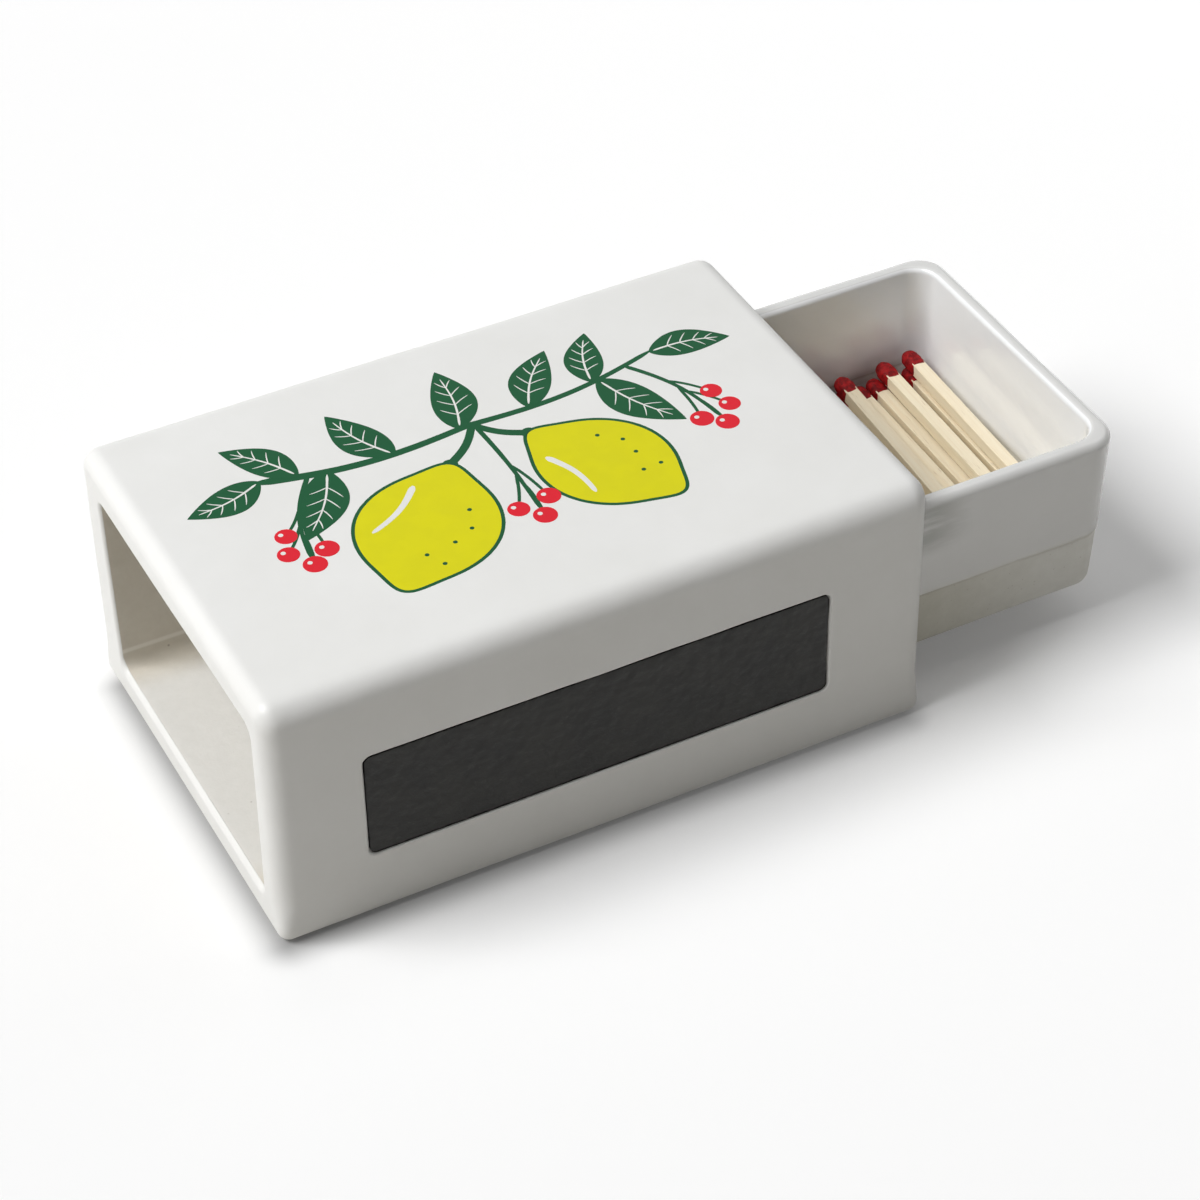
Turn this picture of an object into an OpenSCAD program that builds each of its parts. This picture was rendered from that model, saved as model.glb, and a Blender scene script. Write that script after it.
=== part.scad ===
// Ceramic matchbox holder: a thick cast sleeve, open at both ends, with a striker
// strip let into its near long side, and a ceramic drawer of wooden matches.
// X runs along the sleeve, the drawer comes out to +X, and Z is up.
// The origin is the centre of the sleeve's flat bottom.

/* [Matches] */
// Length of a match, head included
match_l = 48; // [43:0.5:52]
// Thickness of the square stick
stick_w = 2.4; // [1.8:0.05:2.5]
// Widest diameter of the dipped head
head_d = 3.5; // [3:0.02:4.2]
// Length of the dipped head
head_l = 4.8; // [3.6:0.1:6]
// How far the stick's end stays short of the head's tip
head_cap = 0.8; // [0.5:0.1:1.4]
// Gap between a head and what it lies against
head_gap = 0.06; // [0.04:0.01:0.3]
// Gap between a stick and what it lies against
stick_gap = 0.06; // [0.04:0.01:0.3]
// Most that a match lies out of line, endways
stagger = 0.6; // [0:0.1:0.7]
// Most that a loose top match is turned
skew = 1.1; // [0:0.1:1.6]
// Full layers of matches under the loose ones
layers = 3; // [2:1:4]

/* [Drawer] */
// Endways room for the matches on the drawer's floor
match_play = 4.1; // [2.6:0.1:8]
// Height of the drawer
drawer_h = 32; // [28:0.1:44]
// Thickness of the drawer's floor
drawer_floor = 4.2; // [2.5:0.1:6]
// Wall thickness at the rim
rim_wall = 3; // [2.8:0.1:5]
// How far a wall leans out, inside, for each millimetre of height
inner_draft = 0.04; // [0:0.005:0.06]
// How far the glazed wall leans out for each millimetre of height
outer_draft = 0.036; // [0:0.002:0.06]
// How far the bare foot leans out for each millimetre of height
foot_draft = 0.06; // [0:0.01:0.12]
// Height of the bare foot, up to the glaze line
foot_h = 12.3; // [8:0.1:16]
// Thickness of the glaze that ends above the foot
glaze = 0.25; // [0.1:0.05:0.4]
// Corner radius outside, seen from above
drawer_corner = 5.2; // [4.4:0.1:9]
// Corner radius inside, seen from above
cavity_corner = 4.5; // [4:0.1:8]
// Radius under the drawer, round its foot
foot_round = 2.6; // [1:0.1:3]
// Radius where the floor meets the walls, inside
cavity_fillet = 2.5; // [1:0.1:2.6]
// Rounding of the rim's outer edge
rim_round_out = 1.5; // [0.4:0.1:1.6]
// Rounding of the rim's inner edge
rim_round_in = 1.1; // [0.4:0.1:1.2]

/* [Fit] */
// Gap between the drawer's side and the sleeve
side_gap = 0.35; // [0.3:0.05:1.5]
// Gap under the drawer
seat_gap = 0.15; // [0.1:0.05:0.5]
// Gap over the drawer
top_gap = 2.37; // [0.6:0.01:4]
// How far each end of the closed drawer lies inside the sleeve
end_inset = 0.6; // [0:0.1:4]
// How far the drawer is pulled out
drawer_open = 40.8; // [0:0.2:70]

/* [Sleeve] */
// Length of the sleeve
sleeve_l = 114; // [100:1:150]
// Thickness of the two long walls, on average
side_wall = 6.7; // [4:0.1:9]
// How far the bore lies off the middle, towards the striker's side
bore_shift = 1.2; // [0:0.1:2]
// Thickness of the top
roof = 6.4; // [4.5:0.05:10]
// Thickness of the bottom
base = 6.18; // [3:0.01:9]
// Radius of the long top edges
top_round = 4; // [1:0.1:4.4]
// Radius of the upright edges
upright_round = 3.4; // [1:0.1:3.8]
// Radius of the end faces' top edges
end_round = 3; // [1:0.1:4]
// Radius of all bottom edges
bottom_round = 2; // [0.5:0.1:2.8]
// Radius in the bore's corners
bore_corner = 2; // [1:0.1:4]
// Rounding of the bore's mouth at both ends
mouth_round = 1.1; // [0.3:0.1:1.6]

/* [Striker] */
// Length of the striker strip
strip_l = 80; // [50:0.2:90]
// Height of the striker strip
strip_h = 19.6; // [10:0.2:24]
// Thickness of the striker strip
strip_t = 0.5; // [0.3:0.1:0.7]
// Depth of the recess that it is glued into
recess = 0.8; // [0.7:0.1:1.4]
// Corner radius of the strip and its recess
strip_corner = 1.2; // [0.4:0.1:3]
// Gap round the strip in its recess
strip_gap = 0.2; // [0.1:0.05:0.6]
// How far the strip's middle lies along the sleeve
strip_x = -1.3; // [-8:0.1:8]
// How far the strip's middle lies above the side's middle
strip_rise = -1.1; // [-4:0.1:4]

/* [Hidden] */
// Flat pieces that make each quarter of a rounding
arc_steps = 6;
// Overshoot of a cut past the face that it opens
past = 1;
ceramic = [0.92, 0.92, 0.91];
wood = [0.9, 0.82, 0.68];
head_red = [0.55, 0.09, 0.1];

// The drawer is sized by the matches, and the sleeve by the drawer.
cavity_depth = drawer_h - drawer_floor;
cavity_w = match_l + match_play;
rim_inner_w = cavity_w + 2 * inner_draft * cavity_depth;
drawer_w = rim_inner_w + 2 * rim_wall;
drawer_l = sleeve_l - 2 * end_inset;
rim_inner_l = drawer_l - 2 * rim_wall;
bore_w = drawer_w + 2 * side_gap;
bore_h = seat_gap + drawer_h + top_gap;
sleeve_w = bore_w + 2 * side_wall;
sleeve_h = base + bore_h + roof;

// Where the drawer stands.
drawer_x = drawer_open;
drawer_y = -bore_shift;
drawer_z = base + seat_gap;
rim_z = drawer_z + drawer_h;
glaze_z = drawer_z + foot_h;
floor_z = drawer_z + drawer_floor;

// Matches lie across the drawer, heads to +Y, and nest in rows.
head_r = head_d / 2;
pitch = head_d + head_gap;
head_rise = pitch * sqrt(3) / 2;
stick_rise = stick_w + stick_gap;
stick_l = match_l - head_cap;
head_reach = match_l / 2 - head_l / 2;
tail_reach = match_l / 2;
fillet_start = cavity_w / 2 - cavity_fillet;
tail_run = max(0, match_l / 2 + stagger - fillet_start);
tail_lift = cavity_fillet - sqrt(pow(cavity_fillet, 2) - pow(tail_run, 2));
first_head_z = floor_z + head_r + head_gap;
first_tail_z = floor_z + tail_lift + stick_gap + stick_w / 2;
end_room = rim_inner_l / 2 - inner_draft * (rim_z - first_head_z);
first_x = drawer_x + end_room - head_r - head_gap;
columns = floor(2 * (end_room - head_r - head_gap) / pitch) + 1;
top_matches = 14;

function two_digits(n) = n < 10 ? str("0", n) : str(n);
function stick_name(i) = str("match_", two_digits(i + 1), "_stick");
function head_name(i) = str("match_", two_digits(i + 1), "_head");
function layer_sticks(k) = str("layer_", k + 1, "_sticks");
function layer_heads(k) = str("layer_", k + 1, "_heads");

// Points along an arc about [x, y], from angle a to angle b.
function arc(x, y, r, a, b) = [
    for (i = [0:arc_steps])
        let (t = a + (b - a) * i / arc_steps)
        [x + r * cos(t), y + r * sin(t)]
];

// A block whose upright section is the outline, carried round a rectangle of
// half sizes cx and cy. The outline lists [distance outside the rectangle,
// height] and starts and ends at distance 0.
module carried(cx, cy, outline) {
    last = len(outline) - 1;
    for (sx = [-1, 1], sy = [-1, 1]) {
        translate([sx * cx, sy * cy, 0])
            rotate_extrude($fn = 64)
                polygon(outline);
    }
    rotate([90, 0, 0])
        linear_extrude(2 * cy, center = true)
            both_sides(cx, outline, last);
    rotate([90, 0, 90])
        linear_extrude(2 * cx, center = true)
            both_sides(cy, outline, last);
}

module both_sides(c, outline, last) {
    polygon(concat(
        [for (p = outline) [c + p[0], p[1]]],
        [for (i = [last:-1:0]) [-c - outline[i][0], outline[i][1]]]
    ));
}

// A rectangle with its own radius on the upper and on the lower corners.
module rounded_panel(w, h, r_up, r_low) {
    difference() {
        square([w, h], center = true);
        for (s = [-1, 1]) {
            corner_waste(s, w / 2, h / 2, 1, r_up);
            corner_waste(s, w / 2, h / 2, -1, r_low);
        }
    }
}

module corner_waste(sx, x, y, sy, r) {
    translate([sx * (x - r), sy * (y - r)])
        difference() {
            translate([sx * r, sy * r])
                square(2 * r, center = true);
            circle(r, $fn = 64);
        }
}

// The sleeve: three rounded profiles crossed, with the bore right through and
// the striker's recess in the near side.
module sleeve() {
    color(ceramic)
        difference() {
            translate([0, 0, sleeve_h / 2])
                intersection() {
                    rotate([90, 0, 90])
                        linear_extrude(sleeve_l, center = true)
                            rounded_panel(sleeve_w, sleeve_h, top_round, bottom_round);
                    rotate([90, 0, 0])
                        linear_extrude(sleeve_w, center = true)
                            rounded_panel(sleeve_l, sleeve_h, end_round, bottom_round);
                    linear_extrude(sleeve_h, center = true)
                        rounded_panel(sleeve_l, sleeve_w, upright_round, upright_round);
                }
            bore();
            striker_place(-past, recess)
                rounded_panel(
                    strip_l + 2 * strip_gap, strip_h + 2 * strip_gap,
                    strip_corner + strip_gap, strip_corner + strip_gap
                );
        }
}

// The bore, with both mouths flared by a rounding.
module bore() {
    half = sleeve_l / 2;
    flare = bore_corner + mouth_round;
    outline = concat(
        [[0, -half - past], [flare, -half - past]],
        arc(flare, mouth_round - half, mouth_round, -90, -180),
        arc(flare, half - mouth_round, mouth_round, 180, 90),
        [[flare, half + past], [0, half + past]]
    );
    translate([0, -bore_shift, base + bore_h / 2])
        rotate([0, 90, 0])
            carried(bore_h / 2 - bore_corner, bore_w / 2 - bore_corner, outline);
}

// Puts a flat shape on the near side, from one depth to another under its face.
module striker_place(from, to) {
    translate([strip_x, -sleeve_w / 2 + to, sleeve_h / 2 + strip_rise])
        rotate([90, 0, 0])
            linear_extrude(to - from)
                children();
}

// The striker strip, glued to the floor of its recess.
module striker_strip() {
    color([0.19, 0.185, 0.18])
        striker_place(recess - strip_t, recess)
            rounded_panel(strip_l, strip_h, strip_corner, strip_corner);
}

// Distance of the drawer's outer wall from its corner centres, at height z.
function glazed_r(z) = drawer_corner - outer_draft * (rim_z - z);
function foot_r(z) = glazed_r(glaze_z) - glaze - foot_draft * (glaze_z - z);
function cavity_r(z) = cavity_corner - inner_draft * (rim_z - z);

// The drawer: a drafted tray with a round rim, whose foot is bare of glaze.
module drawer() {
    foot_top = drawer_z + foot_round;
    rim_low = rim_z - rim_round_out;
    outside = concat(
        [[0, drawer_z]],
        arc(foot_r(foot_top) - foot_round, foot_top, foot_round, -90, 0),
        [[foot_r(glaze_z), glaze_z]],
        arc(glazed_r(glaze_z) - glaze, glaze_z + glaze, glaze, -90, 0),
        arc(glazed_r(rim_low) - rim_round_out, rim_low, rim_round_out, 0, 90),
        [[0, rim_z]]
    );
    fillet_top = floor_z + cavity_fillet;
    lip_low = rim_z - rim_round_in;
    lip_x = cavity_r(lip_low) + rim_round_in;
    inside = concat(
        [[0, floor_z]],
        arc(cavity_r(fillet_top) - cavity_fillet, fillet_top, cavity_fillet, -90, 0),
        arc(lip_x, lip_low, rim_round_in, 180, 90),
        [[lip_x, rim_z + past], [0, rim_z + past]]
    );
    color(ceramic)
        translate([drawer_x, drawer_y, 0])
            difference() {
                carried(drawer_l / 2 - drawer_corner, drawer_w / 2 - drawer_corner, outside);
                carried(rim_inner_l / 2 - cavity_corner, rim_inner_w / 2 - cavity_corner, inside);
            }
}

// Lays a match with its head's middle at x and head_z, and its tail at tail_z,
// moved endways by slide and turned by turn about its head.
module lay(x, head_z, tail_z, slide, turn) {
    translate([x, drawer_y + head_reach + slide, head_z])
        rotate([asin((head_z - tail_z) / (head_reach + tail_reach)), 0, turn])
            children();
}

// A stick along Y, from its tail to inside the head.
module stick() {
    translate([-stick_w / 2, -tail_reach - head_reach, -stick_w / 2])
        cube([stick_w, stick_l, stick_w]);
}

// A dipped head: a blunt capsule round the stick's end.
module head() {
    middle = head_l / 2 - head_r;
    difference() {
        rotate([-90, 0, 0])
            rotate_extrude($fn = 32)
                intersection() {
                    union() {
                        for (end = [-1, 1]) {
                            translate([0, end * middle])
                                circle(head_r, $fn = 32);
                        }
                        square([head_d, 2 * middle], center = true);
                    }
                    translate([0, -head_l])
                        square([head_d, 2 * head_l]);
                }
        stick();
    }
}

// Layers count from 0. Odd layers reach both ends, even ones lie in their gaps.
module layer(k) {
    odd = k % 2;
    for (i = [0:columns - 2 + odd]) {
        lay(
            first_x - (i + (1 - odd) / 2) * pitch,
            first_head_z + k * head_rise,
            first_tail_z + k * stick_rise,
            stagger * sin(137 * i + 71 * k),
            0
        )
            children();
    }
}

// The loose matches on top are spread along the drawer by half pitches. Each
// lies either in the gap between two heads or on one head.
function place(i) = floor(1 + i * (2 * columns - 4) / (top_matches - 1) - i % 2);
function on_head(i) = (place(i) + layers) % 2 == 0;

module loose(i) {
    lay(
        first_x - place(i) * pitch / 2,
        first_head_z + (layers - 1) * head_rise + (on_head(i) ? pitch : head_rise),
        first_tail_z + layers * stick_rise,
        stagger * sin(97 * i + 60),
        skew * sin(151 * i + 20)
    )
        children();
}

sleeve();
striker_strip();
drawer();
for (k = [0:layers - 1]) {
    color(wood) layer(k) stick();
    color(head_red) layer(k) head();
}
for (i = [0:top_matches - 1]) {
    color(wood) loose(i) stick();
    color(head_red) loose(i) head();
}
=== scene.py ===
import bpy
import numpy as np
from mathutils import Matrix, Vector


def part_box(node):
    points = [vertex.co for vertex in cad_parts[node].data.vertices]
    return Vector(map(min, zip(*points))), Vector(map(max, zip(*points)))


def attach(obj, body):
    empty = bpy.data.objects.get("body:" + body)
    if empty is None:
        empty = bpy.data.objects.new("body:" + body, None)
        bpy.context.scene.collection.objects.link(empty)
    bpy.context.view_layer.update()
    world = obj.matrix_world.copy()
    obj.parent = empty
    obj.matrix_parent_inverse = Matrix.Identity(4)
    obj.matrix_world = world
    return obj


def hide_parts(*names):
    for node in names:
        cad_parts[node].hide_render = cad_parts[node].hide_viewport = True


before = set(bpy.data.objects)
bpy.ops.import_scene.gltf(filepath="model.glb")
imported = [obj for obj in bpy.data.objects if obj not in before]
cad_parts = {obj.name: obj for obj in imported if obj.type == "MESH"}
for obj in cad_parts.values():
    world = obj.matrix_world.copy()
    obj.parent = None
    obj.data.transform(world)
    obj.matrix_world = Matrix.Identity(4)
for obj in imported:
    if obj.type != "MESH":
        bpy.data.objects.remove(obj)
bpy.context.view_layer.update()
MM = 0.001


# ---- Camera ----
# It stands in front of the near long side, to the left of the holder, and looks
# down on it at 40 degrees. Its place and lens come from a fit to the straight
# edges and outlines in the photograph.
azimuth, elevation, roll = np.radians([-26.74, 40.29, -1.05])
aim, distance, lens_px = np.array([-15.3, -64.3, 73.3]) * MM, 477.7 * MM, 3463.0

back = np.array([
    np.sin(azimuth) * np.cos(elevation),
    -np.cos(azimuth) * np.cos(elevation),
    np.sin(elevation),
])
level = np.cross([0.0, 0.0, 1.0], back)
level /= np.linalg.norm(level)
upright = np.cross(back, level)
cam_x = np.cos(roll) * level + np.sin(roll) * upright
cam_y = np.cos(roll) * upright - np.sin(roll) * level

camera = bpy.data.objects.new("camera", bpy.data.cameras.new("camera"))
camera.data.sensor_width = 36.0
camera.data.lens = lens_px / 1200 * 36.0
camera.data.clip_start = 0.01
camera.matrix_world = Matrix(
    [[*row, at] for row, at in zip(np.stack([cam_x, cam_y, back], 1), aim + back * distance)]
    + [[0.0, 0.0, 0.0, 1.0]]
)
bpy.context.scene.collection.objects.link(camera)
bpy.context.scene.camera = camera
bpy.context.scene.view_settings.view_transform = "Standard"


# ---- Sleeve ----
# A thick slip-cast stoneware tube, open at both ends. It is glazed white outside
# and over its mouths, and bare inside. Its edges are soft, its faces are a little
# uneven as cast ware is, and the striker's shallow recess is pressed in the side.
sleeve_low, sleeve_high = (np.array(corner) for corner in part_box("sleeve"))
bore_half, bore_low, bore_high = 30.51 * MM, 6.18 * MM, 40.7 * MM
bore_y = -1.2 * MM
top_round, low_round, bore_round = 4.0 * MM, 2.0 * MM, 2.0 * MM
strip_low, strip_high = (np.array(corner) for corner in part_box("striker_strip"))
recess_depth, lip = 0.8 * MM, 0.65 * MM


def smooth(t):
    """0 below 0 and 1 above 1, with the cubic 3t^2 - 2t^3 between them."""
    t = np.clip(t, 0.0, 1.0)
    return t * t * (3.0 - 2.0 * t)


def unevenness(p, size, seed):
    """A soft field from -1 to 1: the mean of six sine waves of about the given
    wavelength, each along its own random direction."""
    draw = np.random.default_rng(seed)
    way = draw.normal(size=(6, 3))
    way /= np.linalg.norm(way, axis=1, keepdims=True)
    phase = draw.uniform(0, 2 * np.pi, 6)
    turns = draw.uniform(0.7, 1.5, 6) * 2 * np.pi / size
    return np.sin(p @ (way * turns[:, None]).T + phase).mean(-1) * 1.6


def gather(centre, width, count):
    """Places across a band of the given width round centre, evenly spaced."""
    return centre + np.linspace(-width / 2, width / 2, count)


def loop(half, low, high, r_low, r_high, sides, steps=8):
    """A rounded rectangle in the plane of Y and Z: four straight sides sampled at
    the given fractions and four quarter circles. Returns the places and the
    outward directions."""
    places, ways = [], []
    corners = [
        (-half + r_high, high - r_high, r_high, 180.0),
        (half - r_high, high - r_high, r_high, 90.0),
        (half - r_low, low + r_low, r_low, 0.0),
        (-half + r_low, low + r_low, r_low, -90.0),
    ]
    runs = [
        ((-half, low + r_low), (-half, high - r_high), (-1.0, 0.0)),
        ((-half + r_high, high), (half - r_high, high), (0.0, 1.0)),
        ((half, high - r_high), (half, low + r_low), (1.0, 0.0)),
        ((half - r_low, low), (-half + r_low, low), (0.0, -1.0)),
    ]
    for (start, end, way), (cy, cz, r, first), f in zip(runs, corners, sides):
        f = f[:, None]
        places.append((1 - f) * np.array(start) + f * np.array(end))
        ways.append(np.tile(way, (len(f), 1)))
        a = np.radians(first - np.linspace(0, 90, steps + 1)[1:-1])
        round_way = np.stack([np.cos(a), np.sin(a)], 1)
        places.append(np.array([cy, cz]) + r * round_way)
        ways.append(round_way)
    return np.concatenate(places), np.concatenate(ways)


def skin(grid, wrap=False):
    """Quads between neighbouring rows of a grid whose rows are closed rings. With
    wrap the last row joins the first; without it each end row closes on a pole at
    its middle. The faces are turned outward by the sign of the volume."""
    rows, ring = grid.shape[:2]
    index = np.arange(rows * ring).reshape(rows, ring)
    near = index if wrap else index[:-1]
    far = np.roll(index, -1, 0) if wrap else index[1:]
    quads = np.stack([near, np.roll(near, -1, 1), np.roll(far, -1, 1), far], -1).reshape(-1, 4)
    points = grid.reshape(-1, 3)
    fans = np.zeros((0, 3), int)
    if not wrap:
        first, last = index[0], index[-1]
        points = np.concatenate([points, [grid[0].mean(0), grid[-1].mean(0)]])
        start, end = np.full(ring, rows * ring), np.full(ring, rows * ring + 1)
        fans = np.concatenate([
            np.stack([start, np.roll(first, -1), first], -1),
            np.stack([end, last, np.roll(last, -1)], -1),
        ])
    triangles = np.concatenate([quads[:, :3], quads[:, [0, 2, 3]], fans])
    a, b, c = (points[triangles[:, i]] for i in range(3))
    if np.einsum("ij,ij->", a, np.cross(b, c)) < 0:
        quads, fans = quads[:, ::-1], fans[:, ::-1]
    return points, quads, fans


def piece(name, skins, marks=None, soft=True):
    """One object from one or more (points, quads, fans), with a float or vector
    attribute for each entry of marks. Its faces are shaded smooth if it is soft."""
    points = np.concatenate([s[0] for s in skins])
    starts = np.cumsum([0] + [len(s[0]) for s in skins])[:-1]
    quads = np.concatenate([s[1] + n for s, n in zip(skins, starts)])
    fans = np.concatenate([s[2] + n for s, n in zip(skins, starts)])
    mesh = bpy.data.meshes.new(name)
    mesh.vertices.add(len(points))
    mesh.vertices.foreach_set("co", points.astype(np.float32).ravel())
    corners = np.concatenate([quads.ravel(), fans.ravel()]).astype(np.int32)
    sizes = np.concatenate([np.full(len(quads), 4), np.full(len(fans), 3)])
    mesh.loops.add(len(corners))
    mesh.loops.foreach_set("vertex_index", corners)
    mesh.polygons.add(len(sizes))
    mesh.polygons.foreach_set("loop_start", (np.cumsum(sizes) - sizes).astype(np.int32))
    for mark, values in (marks or {}).items():
        values = np.asarray(values, np.float32)
        kind, slot = ("FLOAT", "value") if values.ndim == 1 else ("FLOAT_VECTOR", "vector")
        mesh.attributes.new(mark, kind, "POINT").data.foreach_set(slot, values.ravel())
    mesh.update(calc_edges=True)
    mesh.validate()
    mesh.shade_smooth() if soft else mesh.shade_flat()
    made = bpy.data.objects.new(name, mesh)
    bpy.context.scene.collection.objects.link(made)
    return made


def outward(grid):
    """Unit direction across a grid, from the differences between its neighbours."""
    along = np.roll(grid, -1, 1) - np.roll(grid, 1, 1)
    across = np.gradient(grid, axis=0)
    way = np.cross(along, across)
    return way / np.maximum(np.linalg.norm(way, axis=-1, keepdims=True), 1e-12)


half_l, half_w = sleeve_high[0], sleeve_high[1]
height = sleeve_high[2]
straight = height - top_round - low_round
low_edge, high_edge = strip_low[2] - lip / 2, strip_high[2] + lip / 2
near_z = np.unique(np.concatenate([
    low_round + np.array([0.0, 0.4, 1.2]) * MM,
    np.linspace(low_round + 2 * MM, height - top_round - 2 * MM, 24),
    gather(low_edge, 3.2 * MM, 27), gather(high_edge, 3.2 * MM, 27),
    height - top_round - np.array([0.0, 0.4, 1.2]) * MM,
]))
even = np.array([0, 0.005, 0.02, *np.linspace(0.05, 0.95, 26), 0.98, 0.995, 1])
sides = [(near_z - low_round) / straight, even, even, even]
outer, outer_way = loop(half_w, 0.0, height, low_round, top_round, sides)
inner, inner_way = loop(bore_half, bore_low, bore_high, bore_round, bore_round, sides)
inner[:, 0] *= 1 - 0.033 * (bore_high - inner[:, 1]) / (bore_high - bore_low)
inner[:, 0] += bore_y

# The end edges are rounded by 3 mm on top, 3.4 mm at the sides and 2 mm below.
rise = smooth((outer[:, 1] - low_round) / (7 * MM))
end_round = (2.0 + rise * (1.4 - 0.4 * np.clip(outer_way[:, 1], 0, 1) ** 2)) * MM

# The bore narrows by 1 mm a side towards the bottom, as the drawer does, and its
# mouths are rounded most along the bottom.
mouth_round = (0.8 + 0.4 * np.clip(-inner_way[:, 1], 0, 1)) * MM

strip_x = (strip_low[0], strip_high[0])
outer_x = np.unique(np.concatenate([
    np.linspace(-51 * MM, 51 * MM, 60), gather(strip_x[0] - lip / 2, 3.2 * MM, 27),
    gather(strip_x[1] + lip / 2, 3.2 * MM, 27),
]))


def ring(x, offset, places, ways):
    """A ring of the wall at x, its places moved outward by offset."""
    flat = places + np.asarray(offset)[..., None] * ways
    return np.stack([np.broadcast_to(x, len(flat)), flat[:, 0], flat[:, 1]], -1)


turn = np.radians(np.linspace(0, 90, 11))
end_rings = [ring(half_l - end_round - 0.5 * MM, 0.0, outer, outer_way)]
end_rings += [
    ring(half_l - end_round * (1 - np.sin(a)), -end_round * (1 - np.cos(a)), outer, outer_way)
    for a in turn
]
mouth_ring = ring(half_l, mouth_round, inner, inner_way)
end_rings += [
    (1 - t) * end_rings[-1] + t * mouth_ring for t in (0.08, 0.3, 0.6, 0.85, 1.0)
]
end_rings += [
    ring(half_l - mouth_round * (1 - np.cos(a)), mouth_round * (1 - np.sin(a)), inner, inner_way)
    for a in turn[1:]
]
outside = [ring(x, 0.0, outer, outer_way) for x in outer_x]
bore_x = np.linspace(54.6 * MM, -54.6 * MM, 44)
inside = [ring(x, 0.0, inner, inner_way) for x in bore_x]
flip = np.array([-1.0, 1.0, 1.0])
wall = np.stack(outside + end_rings + inside + [r * flip for r in end_rings[::-1]])
bare = np.zeros(wall.shape[:2])
first_bare = len(outside) + len(end_rings)
bare[first_bare - 2:first_bare + len(inside) + 2] = 1.0

# Cast ware is never quite flat, and a glaze softens the recess's lip.
way = outward(wall)
way *= np.sign(np.einsum("ijk,ijk->", way[:len(outside)], wall[:len(outside)] - [0, 0, height / 2]))


def settled(p):
    """How far the glazed surface has drawn in at a place, at least 0.05 mm."""
    return np.maximum(0.10 + 0.06 * unevenness(p, 55 * MM, 3), 0.05) * MM


sunk = settled(wall)
near = (np.abs(wall[..., 1] + half_w) < 1e-6) & (bare == 0)
middle = (strip_low + strip_high) / 2
reach = (strip_high - strip_low) / 2
corner = 1.2 * MM
off_x = np.abs(wall[..., 0] - middle[0]) - (reach[0] - corner)
off_z = np.abs(wall[..., 2] - middle[2]) - (reach[2] - corner)
outside_by = (
    np.hypot(np.maximum(off_x, 0), np.maximum(off_z, 0))
    + np.minimum(np.maximum(off_x, off_z), 0) - corner
)
wobble = 1 + 0.12 * unevenness(wall, 9 * MM, 8)
sunk += near * recess_depth * np.clip(1 - outside_by / (lip * wobble), 0, 1) ** 2.2
wall = wall - way * sunk[..., None]

sleeve = piece("sleeve_casting", [skin(wall, wrap=True)], {"bare": bare.ravel()})
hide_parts("sleeve")
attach(sleeve, "sleeve")


class Tone:
    """A shader socket that takes arithmetic. add() puts any other node beside it."""

    def __init__(self, tree, socket=None):
        self.tree, self.socket = tree, socket

    def add(self, kind, settings=None, inputs=None, output=0):
        node = self.tree.nodes.new("ShaderNode" + kind)
        for name, value in (settings or {}).items():
            if name == "stops":
                ramp = node.color_ramp.elements
                for n, (at, colour) in enumerate(value):
                    stop = ramp[n] if n < 2 else ramp.new(at)
                    stop.position, stop.color = at, (*colour, 1.0)
            else:
                setattr(node, name, value)
        for key, value in (inputs or {}).items():
            if isinstance(value, Tone):
                self.tree.links.new(value.socket, node.inputs[key])
            else:
                node.inputs[key].default_value = value
        return Tone(self.tree, node.outputs[output])

    def math(self, operation, a, b=0.0):
        return self.add("Math", {"operation": operation}, {0: a, 1: b})

    def __add__(self, other):
        return self.math("ADD", self, other)

    def __sub__(self, other):
        return self.math("SUBTRACT", self, other)

    def __rsub__(self, other):
        return self.math("SUBTRACT", other, self)

    def __mul__(self, other):
        return self.math("MULTIPLY", self, other)

    __radd__, __rmul__ = __add__, __mul__

    def between(self, low, high):
        """0 at low, 1 at high and eased between them."""
        return self.add("MapRange", {"interpolation_type": "SMOOTHSTEP"},
                        {"Value": self, "From Min": low, "From Max": high})

    def mix(self, a, b):
        """Colour a where this is 0 and colour b where it is 1."""
        colours = {6: a, 7: b}
        colours = {k: v if isinstance(v, Tone) else (*v, 1.0) for k, v in colours.items()}
        return self.add("Mix", {"data_type": "RGBA"}, {0: self, **colours}, 2)

    def noise(self, place, scale, detail=2.0, roughness=0.5):
        """Fractal noise about 0.5, of the given number of waves in a metre."""
        return self.add("TexNoise", {}, {"Vector": place, "Scale": scale, "Detail": detail,
                                         "Roughness": roughness})

    def pimples(self, place, scale):
        """Distance from the nearest of many scattered points, 0 at each point."""
        return self.add("TexVoronoi", {}, {"Vector": place, "Scale": scale})

    def relief(self, height, depth):
        """A normal from a height field; depth is the real height in metres."""
        return self.add("Bump", {}, {"Strength": 1.0, "Distance": depth, "Height": height})


def finish(name, **uniform):
    """A new material. Returns it with an empty tone, the object's coordinates and
    a function that links or sets its shader's sockets."""
    material = bpy.data.materials.new(name)
    material.use_nodes = True
    tree = material.node_tree
    shader = tree.nodes["Principled BSDF"]

    def put(**sockets):
        for key, value in sockets.items():
            key = key.replace("_", " ")
            if isinstance(value, Tone):
                tree.links.new(value.socket, shader.inputs[key])
            else:
                shader.inputs[key].default_value = value

    put(**uniform)
    tone = Tone(tree)
    return material, tone, tone.add("TexCoord", output=3), put


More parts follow.
